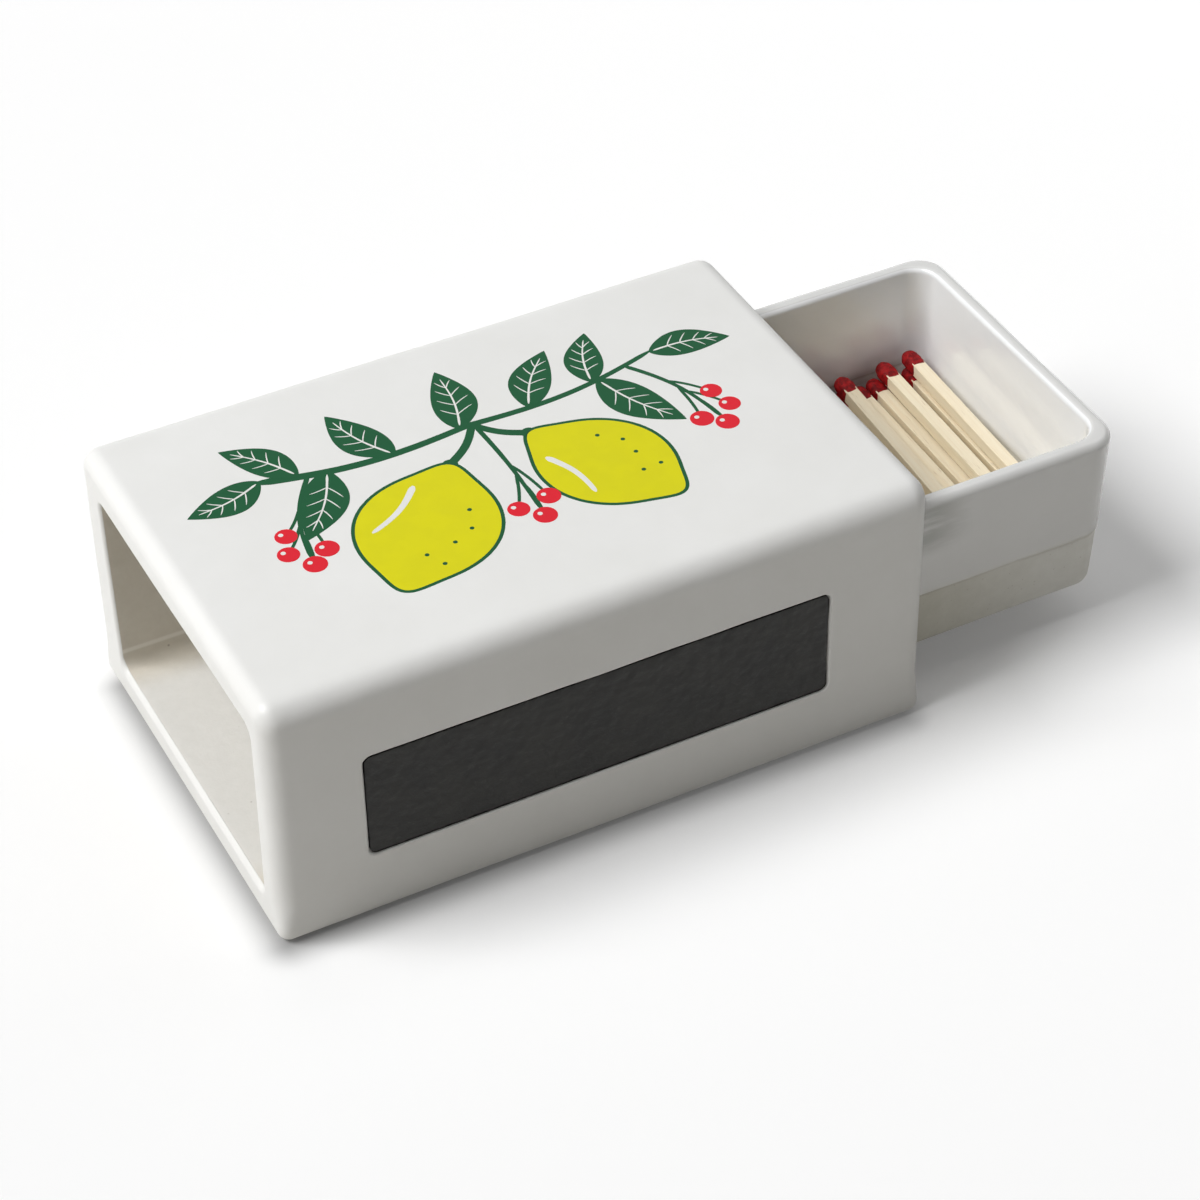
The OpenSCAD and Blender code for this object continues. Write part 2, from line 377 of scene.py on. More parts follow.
glazed, t, at, put = finish("white_glaze_and_bare_body", Coat_Roughness=0.16, IOR=1.5)
is_bare = t.add("Attribute", {"attribute_name": "bare"}, output=2)
edge = (is_bare + (t.noise(at, 900.0) - 0.5) * 0.5).between(0.35, 0.65)
cloud = t.noise(at, 60.0, 4.0, 0.6)
body = t.noise(at, 500.0, 5.0, 0.65)
specks = t.pimples(at, 520.0).between(0.14, 0.06)
thin = t.noise(at, 160.0, 1.0).between(0.56, 0.64)
glaze_colour = cloud.mix((0.755, 0.753, 0.73), (0.83, 0.832, 0.82))
y, z = (t.add("SeparateXYZ", {}, {0: at}, n) for n in (1, 2))
off = t.math("ABSOLUTE", y - bore_y)
# Painted shade: the bare body is darker and warmer on the bore's walls and roof and along the edges of its floor
# than in the middle of its floor, where bed is 1.
bed = z.between(bore_low + 0.0022, bore_low + 0.0004) * off.between(0.0290, 0.0215)
bare_colour = bed.mix(body.mix((0.59, 0.545, 0.465), (0.68, 0.64, 0.56)),
                      body.mix((0.67, 0.66, 0.625), (0.76, 0.75, 0.72)))
# Painted highlight: a pale line about 3 mm above the bore's floor, along its long walls, as a small ledge there
# would catch light; the wall's shape has no ledge.
painted_ridge_highlight = z.between(bore_low + 0.0026, bore_low + 0.0031) * z.between(bore_low + 0.0039, bore_low + 0.0034)
bare_colour = (painted_ridge_highlight * off.between(0.0275, 0.0285) * 0.7).mix(bare_colour, (0.84, 0.81, 0.75))
bare_colour = (specks * thin * 0.55).mix(bare_colour, (0.22, 0.18, 0.14))
peel = t.noise(at, 260.0, 2.0) + t.noise(at, 75.0, 2.0) * 2.5
put(
    Base_Color=edge.mix(glaze_colour, bare_colour),
    Roughness=edge * 0.28 + (t.noise(at, 120.0) * 0.10 + 0.38),
    Coat_Weight=(1 - edge) * 0.04,
    Normal=t.relief(peel * (1 - edge) + body * edge * 1.5, 0.00006),
)
sleeve.data.materials.append(glazed)


# ---- Printed sprig ----
# A ceramic decal fired onto the top glaze: a plain branch with leaves, two hanging
# lemons and sprays of red berries. It is a film of enamel in flat colours, some
# hundredths of a millimetre thick, with a dark green border round each fruit.
def along_normals(outline, by):
    """The closed outline moved outward by a distance, along its own normals."""
    run = np.roll(outline, -1, 0) - np.roll(outline, 1, 0)
    side = np.stack([run[:, 1], -run[:, 0]], -1)
    return outline + by * side / np.linalg.norm(side, axis=1, keepdims=True)


def turned(shape, place, angle):
    """The shape turned by an angle in degrees and moved to a place."""
    c, s = np.cos(np.radians(angle)), np.sin(np.radians(angle))
    return shape @ np.array([[c, s], [-s, c]]) + np.array(place)


def disc(radius, count=28):
    """A circle about the origin."""
    t = np.linspace(0, 2 * np.pi, count, endpoint=False)
    return radius * np.stack([np.cos(t), np.sin(t)], -1)


def lemon(length, width):
    """An oval with a nub at both ends: x = a (cos t + 0.17 cos^15 t)."""
    c, s = np.cos(t := np.linspace(0, 2 * np.pi, 120, endpoint=False)), np.sin(t)
    return np.stack([length / 2.34 * (c + 0.17 * c ** 15), width / 2 * s * (1 - 0.12 * c * c)], -1)


def leaf(length, width, hook):
    """Two arcs that meet in points, with the middle line bent by a sine arch. It
    starts at the origin and runs along x."""
    t = np.linspace(0, 1, 48)
    half = width / 2 * np.sin(np.pi * t ** 0.8) ** 0.9
    spine = hook * np.sin(np.pi * t)
    upper = np.stack([t * length, spine + half], -1)
    lower = np.stack([t * length, spine - half], -1)
    return np.concatenate([lower, upper[-2:0:-1]])


def arc_line(start, end, sag, count=30):
    """Points from start to end, bowed sideways by sag at the middle."""
    start, end, t = np.array(start, float), np.array(end, float), np.linspace(0, 1, count)[:, None]
    run = end - start
    return start + t * run + sag * np.sin(np.pi * t) * np.array([-run[1], run[0]]) / np.hypot(*run)


def stroke(line, thick, thin):
    """A brush stroke along a line, from thick to thin and round at both ends."""
    run = np.gradient(line, axis=0)
    side = np.stack([-run[:, 1], run[:, 0]], -1) / np.linalg.norm(run, axis=1, keepdims=True)
    count = np.arange(len(line))
    ends = np.sqrt(np.clip(np.minimum(count, count[::-1]) / 2 + 0.1, 0, 1))
    half = (np.linspace(thick, thin, len(line)) * ends / 2)[:, None]
    return np.concatenate([line - side * half, (line + side * half)[::-1]])


def film(outline, level, strip):
    """A closed film on the glaze, its top the given height over it and its
    underside sunk in it. A blob's rings shrink to its middle; a stroke's are its
    cross sections, four corners each."""
    if strip:
        left, right = outline[:len(outline) // 2], outline[len(outline) // 2:][::-1]
        flat = np.stack([left, left, right, right], 1) * MM
        lift = np.array([[-0.03, level, level, -0.03]]) * MM
    else:
        flat = [(1 - s) * outline + s * outline.mean(0) for s in (0.98, 0.8, 0.6, 0.4, 0.2, 0.0)]
        flat = np.stack(flat + flat[::-1]) * MM
        lift = np.repeat([level, -0.03], 6)[:, None] * MM
    p = np.stack([flat[..., 0], flat[..., 1], np.full(flat.shape[:2], height)], -1)
    p[..., 2] += lift - settled(p)
    return skin(p)


enamel = {"green": [], "yellow": [], "red": [], "white": []}


def paint(colour, shape, place=(0, 0), angle=0, strip=False):
    """Adds a film of one colour; the later colours lie over the earlier ones."""
    level = {"green": 0.020, "yellow": 0.030, "red": 0.030, "white": 0.040}[colour]
    level += 0.0003 * (len(enamel[colour]) % 30)
    enamel[colour].append(film(turned(shape, place, angle) - [0, 3], level, strip))


branch = np.concatenate([arc_line((-36, 17), (0, 14.5), -2.2)[:-1], arc_line((0, 14.5), (35, 18.5), -2.0)])
paint("green", stroke(branch, 1.7, 0.9), strip=True)
fruits = [((-16.5, -5.5), 52, 31.0, 22.5, 0.8), ((15.0, -4.0), 121, 28.5, 20.5, -0.8)]
for place, angle, long, wide, sag in fruits:
    stalk_end = turned(np.array([[long / 2, 0]]), place, angle)[0]
    rind = lemon(long, wide)
    shine = arc_line((0.30 * long, 0.20 * wide), (-0.10 * long, 0.36 * wide), 1.0)
    paint("green", stroke(arc_line((0.5, 14.4), stalk_end, sag), 1.3, 1.5), strip=True)
    paint("green", disc(1.3), stalk_end)
    paint("green", along_normals(rind, 0.6), place, angle)
    paint("yellow", rind, place, angle)
    paint("white", stroke(shine, 1.2, 0.8), place, angle, True)
    for dot in ((-0.10, -0.22), (-0.22, -0.06), (0.02, -0.30), (-0.27, -0.20), (0.16, -0.24)):
        spot = turned(np.array([dot]) * [long, wide], place, angle)[0]
        enamel["green"].append(film(turned(disc(0.38, 12), spot, 0) - [0, 3], 0.040, False))
leaves = [
    ((-35.0, 17.0), 194, 14.0, 6.8, 0.9), ((-29.0, 15.6), 128, 14.5, 6.6, -0.8),
    ((-24.5, 14.6), 236, 17.5, 7.6, 1.0), ((-13.5, 13.2), 112, 15.5, 7.2, 0.9),
    ((-1.5, 14.2), 80, 16.0, 7.4, -0.9), ((10.5, 14.2), 54, 15.5, 7.0, 0.9),
    ((23.5, 15.6), -64, 18.0, 7.8, -1.0), ((22.5, 15.4), 68, 13.5, 6.4, 0.8),
    ((34.5, 18.3), -10, 14.0, 6.6, 0.9),
]
for root, angle, long, wide, hook in leaves:
    rib = arc_line((0.06 * long, 0.1 * hook), (0.86 * long, 0.35 * hook), hook * 0.75)
    paint("green", leaf(long, wide, hook), root, angle)
    paint("white", stroke(rib, 0.42, 0.2), root, angle, True)
    for k in (0.24, 0.40, 0.56, 0.70):
        out = k + 0.12
        for way_up in (-1, 1):
            low_end = (k * long, hook * np.sin(np.pi * k) * 0.95)
            reach_out = way_up * 0.36 * wide * np.sin(np.pi * out ** 0.8) ** 0.9
            high_end = (out * long, hook * np.sin(np.pi * out) + reach_out)
            paint("white", stroke(arc_line(low_end, high_end, 0.1, 8), 0.24, 0.16), root, angle, True)
sprays = [
    ((-27.5, 15.2), (-35.5, -4.0), -1.6, ((-35.5, -5.6), (-38.2, -1.6), (-32.4, -3.0), (-36.8, 2.6))),
    ((29.0, 17.0), (36.5, -2.5), 1.6, ((36.8, -4.2), (39.4, -0.2), (33.6, -1.6), (38.4, 4.2))),
    ((0.8, 14.4), (0.6, -10.0), 0.5, ((0.6, -11.6), (-2.4, -8.4), (3.2, -7.6))),
]
for start, end, sag, berries in sprays:
    twig = arc_line(start, end, sag)
    paint("green", stroke(twig, 0.9, 0.6), strip=True)
    for n, place in enumerate(berries):
        paint("green", stroke(arc_line(twig[20 - 3 * n], place, 0.3, 10), 0.6, 0.5), strip=True)
        paint("red", disc(1.95 - 0.15 * (n % 2)), place)
        paint("white", disc(0.42, 12), (place[0] - 0.6, place[1] + 0.65))
colours = {"green": (0.001, 0.082, 0.026), "yellow": (0.70, 0.66, 0.006), "red": (0.72, 0.014, 0.030),
           "white": (0.80, 0.80, 0.77)}
for colour, films in enamel.items():
    made = piece("sprig_" + colour, films, soft=False)
    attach(made, "sleeve")
    fired, t, at, put = finish("enamel_" + colour, IOR=1.5, Specular_IOR_Level=0.18)
    wash = t.noise(at, 240.0, 3.0)
    deep = tuple(0.97 * c for c in colours[colour])
    put(
        Base_Color=wash.between(0.35, 0.65).mix(deep, colours[colour]),
        Roughness=wash * 0.12 + 0.28,
        Normal=t.relief(t.noise(at, 260.0, 2.0), 0.00005),
    )
    made.data.materials.append(fired)


# ---- Striker strip ----
# A dark, grit-faced strip glued into the recess. Its face is leathery: shallow
# pits and creases show the uneven body under it, and fine grit covers it.
thin = (strip_high[1] - strip_low[1]) / 2
rows = np.array([0, 0.004, 0.012, *np.linspace(0.025, 0.975, 62), 0.988, 0.996, 1])
section, section_way = loop(thin, -1.0, 1.0, 0.0, 0.0, [rows, np.array([0, 0.5, 1.0]), rows, np.array([0, 0.5, 1.0])], 2)
run = np.concatenate([np.linspace(0, 1.2, 9), np.linspace(1.6, 78.4, 230), np.linspace(78.8, 80, 9)]) * MM - reach[0]
past_corner = np.clip(np.abs(run) - (reach[0] - corner), 0, corner)
tall = reach[2] - corner + np.sqrt(corner ** 2 - (0.995 * past_corner) ** 2)
strip_grid = np.stack([
    np.broadcast_to(run[:, None], (len(run), len(section))) + middle[0],
    np.broadcast_to(section[:, 0], (len(run), len(section))) + middle[1],
    section[:, 1] * tall[:, None] + middle[2],
], -1)
face = section_way[:, 0] < -0.5
bumps = 0.5 * unevenness(strip_grid, 3.4 * MM, 21) + 0.5 * unevenness(strip_grid * [1, 1, 0.6], 1.7 * MM, 22)
creases = 1 - np.abs(unevenness(strip_grid, 6 * MM, 23))
worn = 0.10 * np.exp(-np.minimum(reach[0] - np.abs(run)[:, None], tall[:, None] * (1 - np.abs(section[:, 1]))) / (0.3 * MM))
strip_grid[..., 1] += face * np.clip(0.07 + 0.07 * bumps - 0.03 * creases + worn, 0, 0.3) * MM
striker = piece("striker_grit_strip", [skin(strip_grid)])
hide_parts("striker_strip")
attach(striker, "sleeve")

grit, t, at, put = finish("striker_grit", IOR=1.45, Specular_IOR_Level=0.32)
stain = t.noise(at, 130.0, 4.0, 0.6)
grain = t.noise(at, 1500.0, 2.0, 0.7)
scuff = t.noise(t.add("Mapping", {}, {"Vector": at, "Scale": (60.0, 60.0, 900.0)}), 1.0, 3.0)
grit_colour = stain.between(0.3, 0.7).mix((0.015, 0.0147, 0.0137), (0.028, 0.0273, 0.025))
grit_colour = (grain.between(0.62, 0.8) * 0.3).mix(grit_colour, (0.085, 0.083, 0.078))
put(
    Base_Color=(scuff.between(0.62, 0.75) * 0.12).mix(grit_colour, (0.07, 0.068, 0.064)),
    Roughness=stain * 0.2 + 0.42,
    Normal=t.relief(grain * 0.5 + stain * 2.0 + t.noise(at, 380.0, 1.0) * 4.0, 0.00016),
)
striker.data.materials.append(grit)


# ---- Drawer ----
# A cast tray that slides in the sleeve. Its walls lean out a little and end in a
# soft round rim. The white glaze stops in a thick edge above the bare buff foot,
# which was wiped clean so that it doesn't stick in the kiln.
tray_low, tray_high = (np.array(corner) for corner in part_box("drawer"))
tray_x, tray_y = (tray_low[:2] + tray_high[:2]) / 2
tray_half = (tray_high - tray_low)[:2] / 2
tray_z, rim_z = tray_low[2], tray_high[2]
rim_wall, floor_up, glaze_up = 3.0 * MM, 4.2 * MM, 12.3 * MM
tray_corner, hollow_corner = 5.2 * MM, 4.5 * MM


def bend(cx, cz, r, first, last, count=8):
    """Points (distance out, height) on an arc about (cx, cz)."""
    a = np.radians(np.linspace(first, last, count + 1))
    return np.stack([cx + r * np.cos(a), cz + r * np.sin(a)], -1)


def glazed_out(z):
    """How far the glazed wall stands outside its corner centres at height z."""
    return tray_corner - 0.036 * (rim_z - z)


def hollow_out(z):
    """How far the hollow reaches outside its own corner centres at height z."""
    return hollow_corner - 0.04 * (rim_z - z)


glaze_z, floor_z = tray_z + glaze_up, tray_z + floor_up
foot_top = glazed_out(glaze_z) - 0.25 * MM
foot_low = foot_top - 0.06 * (glaze_up - 2.6 * MM)
rim_out = glazed_out(rim_z - 1.5 * MM) - 1.5 * MM
lip_in = hollow_out(rim_z - 1.2 * MM) + 1.2 * MM
outside_line = np.concatenate([
    [[-3.4 * MM, tray_z], [foot_low - 3.2 * MM, tray_z]],
    bend(foot_low - 2.6 * MM, tray_z + 2.6 * MM, 2.6 * MM, -90, 0, 10),
    np.stack([np.linspace(foot_low, foot_top, 12)[1:], np.linspace(tray_z + 3.4 * MM, glaze_z - 0.05 * MM, 11)], -1),
    bend(foot_top - 0.02 * MM, glaze_z + 0.25 * MM, 0.27 * MM, -88, 0, 5),
    np.stack([glazed_out(z := np.linspace(glaze_z + 0.7 * MM, rim_z - 2.0 * MM, 20)), z], -1),
    bend(rim_out, rim_z - 1.5 * MM, 1.5 * MM, 0, 90, 9),
])
inside_line = np.concatenate([
    bend(lip_in, rim_z - 1.2 * MM, 1.2 * MM, 90, 180, 9),
    np.stack([hollow_out(z := np.linspace(rim_z - 1.8 * MM, floor_z + 3.2 * MM, 20)), z], -1),
    bend(hollow_out(floor_z + 2.5 * MM) - 2.5 * MM, floor_z + 2.5 * MM, 2.5 * MM, 0, -90, 9),
    [[-0.5 * MM, floor_z], [-3.4 * MM, floor_z]],
])
long_side = np.array([0, 0.004, 0.015, *np.linspace(0.03, 0.97, 44), 0.985, 0.996, 1])
short_side = np.array([0, 0.008, 0.03, *np.linspace(0.06, 0.94, 26), 0.97, 0.992, 1])


def tray_rings(line, half_x, half_y, corner):
    """Each point of the line carried round a rounded rectangle at its distance out."""
    plan, plan_way = loop(half_x, -half_y, half_y, corner, corner, [short_side, long_side] * 2, 12)
    core = plan - plan_way * corner
    flat = core[None] + line[:, 0, None, None] * plan_way[None]
    height = np.broadcast_to(line[:, 1, None], flat.shape[:2])
    return np.stack([flat[..., 0] + tray_x, flat[..., 1] + tray_y, height], -1)


shell = tray_rings(outside_line, tray_half[0], tray_half[1], tray_corner)
hollow = tray_rings(inside_line, tray_half[0] - rim_wall, tray_half[1] - rim_wall, hollow_corner)


def draw_in(rings, shares):
    """Rings that shrink from the given one towards its long middle line."""
    mid = rings.mean(0)
    line = np.stack([np.clip(rings[:, 0], mid[0] - 22 * MM, mid[0] + 22 * MM),
                     np.full(len(rings), mid[1]), np.full(len(rings), mid[2])], -1)
    return np.stack([(1 - s) * rings + s * line for s in shares])


under = draw_in(shell[0], [0.96, 0.8, 0.6, 0.4, 0.2])
bed = draw_in(hollow[-1], [0.2, 0.4, 0.6, 0.8, 0.96])
tray = np.concatenate([under, shell, hollow, bed])
way = outward(tray)
way *= np.sign(np.einsum("ijk,ijk->", way[5:40], tray[5:40] - [tray_x, tray_y, tray[..., 2].mean()]))
tray = tray - way * (np.maximum(0.09 + 0.08 * unevenness(tray, 38 * MM, 5), 0.02) * MM)[..., None]
held = np.zeros(tray.shape[:2])
held[len(under) + len(shell) + 4:] = 1.0
drawer = piece("drawer_casting", [skin(tray)], {"held": np.concatenate([held.ravel(), [0.0, 1.0]])})
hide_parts("drawer")
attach(drawer, "drawer")

ware, t, at, put = finish("white_gloss_glaze_and_bare_foot", Coat_Roughness=0.05, IOR=1.5)
x, y, z = (t.add("SeparateXYZ", {}, {0: at}, n) for n in range(3))
ragged = (t.noise(at, 55.0, 3.0) - 0.5) * 0.0016
is_foot = (z + ragged).between(glaze_z + 0.00022, glaze_z - 0.00012)
body = t.noise(at, 420.0, 5.0, 0.65)
# The bare foot is darker next to the sleeve's mouth and lighter towards the tray's free end.
foot_sleeve_to_free_end = (x + (t.noise(at, 45.0, 3.0) - 0.5) * 0.012).between(0.057, 0.090)
foot_colour = foot_sleeve_to_free_end.mix(body.mix((0.53, 0.515, 0.44), (0.66, 0.645, 0.575)),
                        body.mix((0.76, 0.755, 0.71), (0.88, 0.88, 0.845)))
foot_colour = (t.pimples(at, 700.0).between(0.13, 0.06) * 0.25).mix(foot_colour, (0.30, 0.25, 0.19))
thick = t.noise(at, 60.0, 3.0)
# Painted light and shade: the same glaze is much lighter inside the tray, where held is 1, than on its outside.
gloss_colour = thick.mix((0.68, 0.68, 0.667), (0.74, 0.74, 0.728))
painted_lighter_inside = thick.mix((0.93, 0.945, 0.955), (0.965, 0.975, 0.985))
gloss_colour = t.add("Attribute", {"attribute_name": "held"}, output=2).mix(gloss_colour, painted_lighter_inside)
roll_over = (z + ragged).between(glaze_z + 0.0016, glaze_z + 0.0002)
gloss_colour = (roll_over * (1 - is_foot) * 0.6).mix(gloss_colour, (0.72, 0.715, 0.68))
# Painted shade: a thin dark line on the foot just below the glaze's edge, where the thick edge shades it.
painted_shade_line = (z + ragged).between(glaze_z - 0.0007, glaze_z - 0.0001)
foot_colour = (painted_shade_line * 0.45).mix(foot_colour, (0.36, 0.345, 0.29))
ripple = t.noise(t.add("Mapping", {}, {"Vector": at, "Scale": (1.0, 1.0, 1.8)}), 110.0, 2.0)
# Painted shade: a ragged dark patch on the drawer's near side next to the sleeve's mouth, from the rim down about 11
# mm.
shade_patch_noise = t.noise(t.add("Mapping", {}, {"Vector": at, "Scale": (90.0, 90.0, 420.0)}), 1.0, 3.0, 0.6)
painted_shade_by_sleeve = (x + (shade_patch_noise - 0.5) * 0.008).between(0.070, 0.061) * z.between(0.026, 0.031)
painted_shade_by_sleeve = painted_shade_by_sleeve * y.between(-0.028, -0.029) * z.between(0.0376, 0.0366) * shade_patch_noise.between(0.2, 0.6)
gloss_colour = (painted_shade_by_sleeve * 0.8).mix(gloss_colour, (0.33, 0.335, 0.305))
put(
    Base_Color=is_foot.mix(gloss_colour, foot_colour),
    Roughness=is_foot * 0.5 + (t.noise(at, 90.0) * 0.08 + 0.14),
    Coat_Weight=(1 - is_foot) * 0.5,
    Normal=t.relief(ripple * (1 - is_foot) * 1.6 + body * is_foot, 0.00008),
)
drawer.data.materials.append(ware)


# ---- Matchsticks ----
# Square sticks split from pale aspen: full layers in the drawer, and loose ones
# over them. No two have quite the same width, bend or twist, and their cut ends
# are a little out of square.
def stick_frames(node):
    """For each solid of a node of sticks: its tail's and its head end's middle.
    The corners are sorted along X, and a stick has eight of them."""
    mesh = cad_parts[node].data
    corners = np.empty(len(mesh.vertices) * 3, np.float32)
    mesh.vertices.foreach_get("co", corners)
    corners = np.unique(np.round(corners.reshape(-1, 3).astype(float), 6), axis=0)
    corners = corners[np.argsort(corners[:, 0], kind="stable")].reshape(-1, 8, 3)
    order = np.argsort(corners[..., 1], axis=1)
    corners = np.take_along_axis(corners, order[..., None], 1)
    return corners[:, :4].mean(1), corners[:, 4:].mean(1)


stick_half, stick_edge = 1.2 * MM, 0.14 * MM
across = np.array([0, 0.08, 0.36, 0.64, 0.92, 1.0])
square, square_way = loop(stick_half, -stick_half, stick_half, stick_edge, stick_edge, [across] * 4, 3)
along = np.array([0, 0.002, 0.006, *np.linspace(0.02, 0.98, 22), 0.995, 1.0])


def sticks(node, seed):
    """Skins and marks for all the sticks of a node: the square section is carried
    along a line with a slight bend, twist and change of width."""
    tails, tips = stick_frames(node)
    draw = np.random.default_rng(seed)
    skins, grain, lot = [], [], []
    for tail, tip in zip(tails, tips):
        run = tip - tail
        side = np.cross(run, [0, 0, 1.0])
        side /= np.linalg.norm(side)
        up = np.cross(side, run / np.linalg.norm(run))
        twist = np.radians(draw.normal(0, 0.9)) * (along - 0.5)
        thin = draw.uniform(0.955, 0.995) + 0.008 * np.sin(along * draw.uniform(3, 9) + draw.uniform(0, 6))
        sway = draw.normal(0, 0.05, 2) * MM
        slant = draw.normal(0, 0.03, 2)
        shape = square[None] * thin[:, None, None]
        close = np.where(along < 0.001, 0.93, 1 - 0.34 * smooth((along - 0.925) / 0.06))
        shape = shape * close[:, None, None]
        y, w = shape[..., 0], shape[..., 1]
        y, w = y * np.cos(twist)[:, None] - w * np.sin(twist)[:, None], y * np.sin(twist)[:, None] + w * np.cos(twist)[:, None]
        bow = np.sin(along * np.pi)
        length = along[:, None] + np.clip(1 - along * 8, 0, 1)[:, None] * (y * slant[0] + w * slant[1]) / 0.047
        points = (
            tail + length[..., None] * run
            + (y + bow[:, None] * sway[0])[..., None] * side
            + (w + bow[:, None] * sway[1])[..., None] * up
        )
        made = skin(points)
        skins.append(made)
        local = np.stack([y, length * 0.047, w], -1).reshape(-1, 3)
        local = np.concatenate([local, [local[:4].mean(0), local[-4:].mean(0)]])
        grain.append(local + draw.uniform(-1, 1, 3))
        lot.append(np.full(len(local), draw.uniform(0, 1)))
    return skins, {"grain": np.concatenate(grain), "lot": np.concatenate(lot)}


aspen, t, at, put = finish("split_aspen", IOR=1.45, Subsurface_Weight=0.0)
fibre = t.add("Attribute", {"attribute_name": "grain"}, output=1)
lot = t.add("Attribute", {"attribute_name": "lot"}, output=2)
fine = t.noise(t.add("Mapping", {}, {"Vector": fibre, "Scale": (2200.0, 55.0, 2200.0)}), 1.0, 4.0, 0.65)
broad = t.noise(t.add("Mapping", {}, {"Vector": fibre, "Scale": (480.0, 16.0, 480.0)}), 1.0, 3.0)
pores = t.noise(t.add("Mapping", {}, {"Vector": fibre, "Scale": (3800.0, 260.0, 3800.0)}), 1.0, 2.0)
pale = lot.mix((0.875, 0.765, 0.545), (0.825, 0.745, 0.58))
wood_colour = (fine.between(0.42, 0.72) * 0.32).mix(pale, (0.70, 0.53, 0.32))
wood_colour = (broad.between(0.45, 0.7) * 0.25).mix(wood_colour, (0.77, 0.62, 0.41))
put(
    Base_Color=(pores.between(0.66, 0.78) * 0.5).mix(wood_colour, (0.42, 0.29, 0.16)),
    Roughness=fine * 0.2 + 0.5,
    Normal=t.relief(fine + pores * 0.5, 0.00007),
)

for n, node in enumerate(sorted(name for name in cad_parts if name.endswith(("stick", "sticks")))):
    made = piece(node + "_aspen", *sticks(node, 100 + n))
    made.data.materials.append(aspen)
    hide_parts(node)
    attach(made, "drawer")


# ---- Match heads ----
# Each end was dipped in dark red striking compound, which dried as a rough, blunt
# bead that thins to a collar round the square stick.
head_length, head_half, cap = 4.8 * MM, 1.73 * MM, 0.8 * MM
behind = np.array([0.03, 0.12, 0.3, 0.55, 0.85, 1.2, 1.6, 2.0, 2.4, 2.8, 3.2, 3.6, 3.95, 4.25, 4.5, 4.68, 4.74]) * MM
full = 1.95 * MM
bead = np.where(behind < full, np.sqrt(1 - np.clip(1 - behind / full, 0, 1) ** 2.2), 1.0) * head_half
collar = smooth((behind - full) / (head_length - full - 0.1 * MM))
around = np.linspace(0, 2 * np.pi, 20, endpoint=False)


def heads(node, seed):
    """Skins for all the heads of a node of sticks: a round bead behind the tip
    whose section turns square as it thins to the collar, with a rough surface."""
    tails, tips = stick_frames(node)
    draw = np.random.default_rng(seed)
    skins, lot = [], []
    power = 2 + 5 * collar
    c, s = np.cos(around)[None], np.sin(around)[None]
    shape = (np.abs(c) ** power[:, None] + np.abs(s) ** power[:, None]) ** (-1 / power[:, None])
    size = bead * (1 - collar) + 1.25 * MM * collar
    size[-1] = 0.9 * MM
    for tail, tip in zip(tails, tips):
        run = (tip - tail) / np.linalg.norm(tip - tail)
        side = np.cross(run, [0, 0, 1.0])
        side /= np.linalg.norm(side)
        up = np.cross(side, run)
        fat = draw.uniform(0.93, 0.995)
        radius = size[:, None] * shape * np.where(behind < 3.4 * MM, fat, 1.0)[:, None]
        edge = behind + smooth((behind - 3 * MM) / (1.5 * MM)) * draw.normal(0, 0.1) * MM
        sag = (0.18 * np.sin(around * 2 + draw.uniform(0, 6)) * collar[:, None]) * MM
        points = (
            (tip + cap * run)[None, None] - (edge[:, None] + sag)[..., None] * run
            + (radius * c)[..., None] * side + (radius * s)[..., None] * up
        )
        rough = unevenness(points, 1.1 * MM, seed) * 0.06 + unevenness(points, 2.6 * MM, seed + 1) * 0.06 - 0.07
        taper = np.clip(1.2 - collar, 0, 1)[:, None, None]
        from_axis = (radius * c)[..., None] * side + (radius * s)[..., None] * up
        from_axis /= np.maximum(radius, 1e-6)[..., None]
        made = skin(points + from_axis * rough[..., None] * MM * taper)
        skins.append(made)
        lot.append(np.full(len(made[0]), draw.uniform(0, 1)))
    return skins, {"lot": np.concatenate(lot)}


red, t, at, put = finish("striking_compound", IOR=1.45, Specular_IOR_Level=0.18)
lot = t.add("Attribute", {"attribute_name": "lot"}, output=2)
mottle = t.noise(at, 900.0, 4.0, 0.6)
crumb = t.noise(at, 2600.0, 3.0, 0.7)
red_colour = mottle.between(0.35, 0.65).mix((0.13, 0.004, 0.005), (0.42, 0.010, 0.011))
red_colour = (crumb.between(0.6, 0.8) * 0.4).mix(red_colour, (0.52, 0.05, 0.05))
put(
    Base_Color=(lot * 0.25).mix(red_colour, (0.15, 0.010, 0.014)),
    Roughness=crumb * 0.3 + 0.42,
    Normal=t.relief(crumb + mottle, 0.00012),
)

for n, node in enumerate(sorted(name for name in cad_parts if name.endswith(("stick", "sticks")))):
    head_node = node.replace("stick", "head")
    made = piece(head_node + "_compound", *heads(node, 300 + 2 * n))
    made.data.materials.append(red)
    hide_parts(head_node)
    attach(made, "drawer")


# ---- Floor ----
# A plain pale sheet. It is white to the camera and in reflections, and dimmer as
# a source of bounced light, so the near side stays in soft shade. A soft dark
# shadow is painted on it round the sleeve's foot, widest at its left and near sides.
sheet = bpy.data.objects.new("floor", bpy.data.meshes.new("floor"))
sheet.data.from_pydata([(-9, -9, 0), (9, -9, 0), (9, 9, 0), (-9, 9, 0)], [], [(0, 1, 2, 3)])
bpy.context.scene.collection.objects.link(sheet)
paper, t, at, put = finish("floor_paper", Roughness=1.0, Specular_IOR_Level=0.0)
seen = t.math("MAXIMUM", t.add("LightPath", output="Is Camera Ray"),
              t.math("MAXIMUM", t.add("LightPath", output="Is Glossy Ray"),
                     t.add("LightPath", output="Is Transmission Ray")))
far = t.add("VectorMath", {"operation": "LENGTH"}, {0: at}, 1).between(0.22, 0.90)
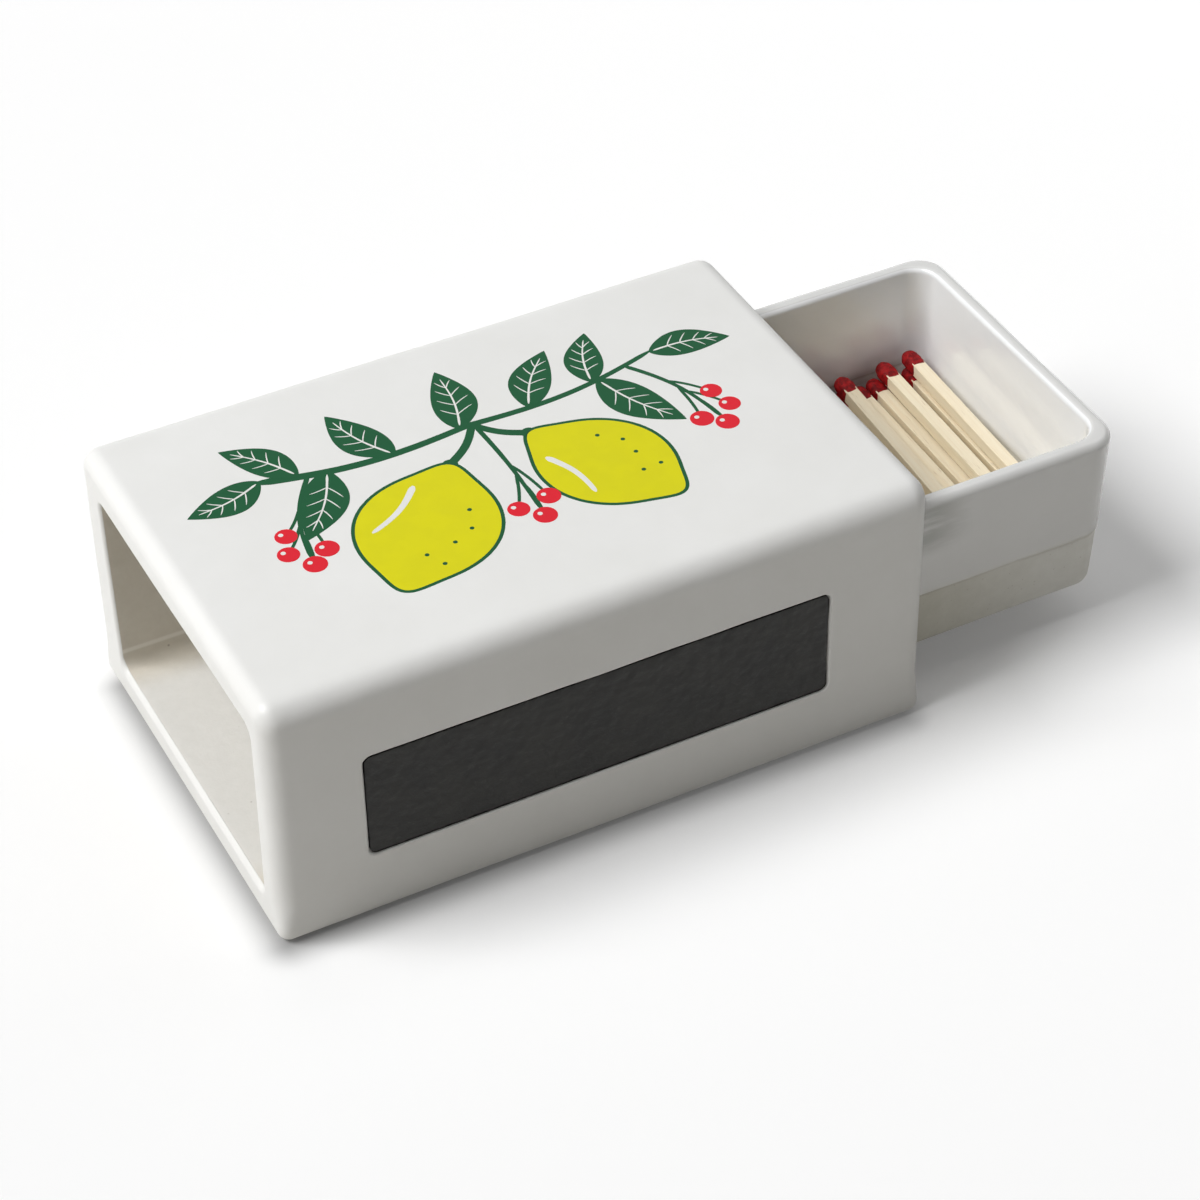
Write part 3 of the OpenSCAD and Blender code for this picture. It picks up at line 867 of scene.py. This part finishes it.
glow = seen * (t.math("MAXIMUM", t.add("SeparateXYZ", {}, {0: at}, 0) * 0.6 + 0.09, 0.02) + far * 0.85)
# Painted shadow: to the camera the floor darkens over 9 mm towards a rectangle a little inside the sleeve's foot,
# shifted to its left and near sides.
off = t.add("VectorMath", {"operation": "ADD"}, {0: at, 1: (0.0012, 0.0030, 0.0)})
off = t.add("VectorMath", {"operation": "ABSOLUTE"}, {0: off})
off = t.add("VectorMath", {"operation": "SUBTRACT"}, {0: off, 1: (0.0545, 0.0335, 1.0)})
off = t.add("VectorMath", {"operation": "MAXIMUM"}, {0: off, 1: (0.0, 0.0, 0.0)})
painted_contact_shadow = t.add("VectorMath", {"operation": "LENGTH"}, {0: off}, 1).between(0.0090, 0.0)
put(
    Base_Color=seen.mix((0.70, 0.68, 0.64), (painted_contact_shadow * painted_contact_shadow * 0.75).mix((0.93, 0.93, 0.93), (0.12, 0.12, 0.12))),
    Emission_Color=t.add("CombineColor", {}, {0: glow, 1: glow, 2: glow}),
    Emission_Strength=1.0,
)
sheet.data.materials.append(paper)


# ---- Light ----
# A large soft window high on the left and a little behind, a weak one low on the
# left, a weak one on the right that casts a faint shadow to the left, a soft one
# above, and the room. The darker shade at the sleeve's foot is painted on the floor.
world = bpy.data.worlds.new("room")
bpy.context.scene.world = world
world.use_nodes = True
tree = world.node_tree
room = Tone(tree)
seen = room.math("MAXIMUM", room.add("LightPath", output="Is Camera Ray"),
                 room.math("MAXIMUM", room.add("LightPath", output="Is Glossy Ray"),
                           room.add("LightPath", output="Is Transmission Ray")))
background = tree.nodes["Background"]
background.inputs["Color"].default_value = (1.0, 0.995, 0.985, 1.0)
tree.links.new((seen * 0.94 + 0.06).socket, background.inputs["Strength"])


def window(name, place, width, height, watts, colour=(1.0, 1.0, 1.0)):
    """An area lamp at the place, turned towards the holder's middle."""
    lamp = bpy.data.lights.new(name, "AREA")
    lamp.shape, lamp.size, lamp.size_y = "RECTANGLE", width, height
    lamp.energy, lamp.color = watts, colour
    stand = bpy.data.objects.new(name, lamp)
    away = np.array(place) - np.array([0.015, 0.0, 0.02])
    away /= np.linalg.norm(away)
    aside = np.cross([0, 0, 1.0], away)
    aside /= np.linalg.norm(aside)
    stand.matrix_world = Matrix(
        [[*row, p] for row, p in zip(np.stack([aside, np.cross(away, aside), away], 1), place)]
        + [[0, 0, 0, 1.0]]
    )
    bpy.context.scene.collection.objects.link(stand)


window("window_left", (-1.06, 0.22, 1.53), 1.0, 1.0, 33.5)
window("window_low_left", (-1.70, 0.40, 0.52), 1.0, 0.6, 3.8)
window("window_right", (1.12, 0.35, 1.32), 1.0, 1.0, 2.0)
window("window_above", (0.24, 0.32, 1.90), 1.2, 1.2, 4.0)
